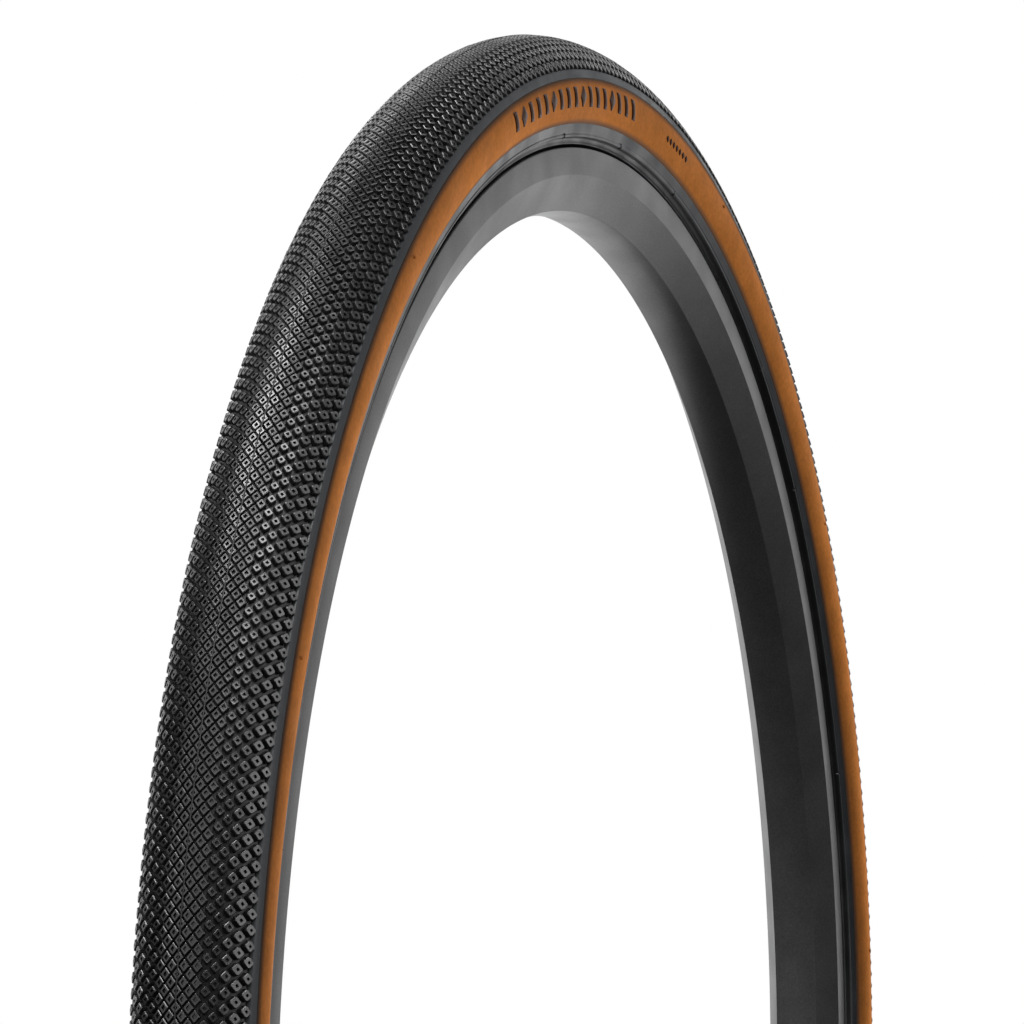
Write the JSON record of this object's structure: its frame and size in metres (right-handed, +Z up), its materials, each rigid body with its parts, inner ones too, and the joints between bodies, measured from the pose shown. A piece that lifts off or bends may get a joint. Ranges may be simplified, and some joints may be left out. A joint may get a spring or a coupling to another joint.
{
  "type": "bicycle tire",
  "caption": "Inflated block-tread bicycle tire with tan sidewalls, seated on a plain undrilled rim hoop, with inner tube and valve.",
  "frame": {"origin": "centre of the wheel", "axes": "+Y along the wheel's axis of rotation, +Z up, +X to the right seen from the -Y side; the valve is at the bottom (-Z)"},
  "size_m": [0.6647, 0.036, 0.6648],
  "materials": {
    "tread_rubber": "matte black tread compound",
    "edge_rubber": "smooth satin black rubber",
    "tan_rubber": "satin tan gum rubber",
    "chafer_rubber": "satin grey-black rubber",
    "core_rubber": "matte black",
    "ply_fabric": "rubberised cord",
    "belt_fabric": "woven",
    "bead_wire": "drawn wire",
    "tube_rubber": "talc-dusted butyl",
    "rim_alloy": "matte grey anodised",
    "tape_cloth": "woven tape",
    "valve_nickel": "nickel plated",
    "valve_brass": "bare brass"
  },
  "bodies": {
    "tire_on_rim": {"tread_center": "tread_rubber", "tread_shoulder_near": "tread_rubber", "tread_shoulder_far": "tread_rubber", "tread_edge_near": "edge_rubber", "tread_edge_far": "edge_rubber", "undertread": "core_rubber", "puncture_belt": "belt_fabric", "casing_outer_ply": "ply_fabric", "casing_inner_ply": "ply_fabric", "sidewall_near": "tan_rubber", "sidewall_far": "tan_rubber", "chafer_near": "chafer_rubber", "chafer_far": "chafer_rubber", "bead_core_near": "bead_wire", "bead_core_far": "bead_wire", "inner_tube": "tube_rubber", "rim": "rim_alloy", "rim_tape": "tape_cloth", "valve_pad": "core_rubber", "valve_stem": "valve_nickel", "valve_core": "valve_brass"},
    "lock_ring": {"valve_lock_ring": "valve_nickel"},
    "plunger": {"valve_plunger": "valve_brass", "plunger_seal": "core_rubber"},
    "tip_nut": {"valve_tip_nut": "valve_brass"}
  },
  "joints": [
    {"name": "lock_ring_travel", "type": "slide", "parent": "tire_on_rim", "child": "lock_ring", "axis": [0, 0, 1], "range_m": [0, 0.011]},
    {"name": "plunger_press", "type": "slide", "parent": "tire_on_rim", "child": "plunger", "axis": [0, 0, -1], "range_m": [0, 0.0015], "stiffness_N_per_m": 20, "springref_m": -0.002},
    {"name": "tip_nut_turn", "type": "hinge", "parent": "plunger", "child": "tip_nut", "pos_m": [0, 0, -0.246], "axis": [0, 0, 1], "continuous": true}
  ]
}
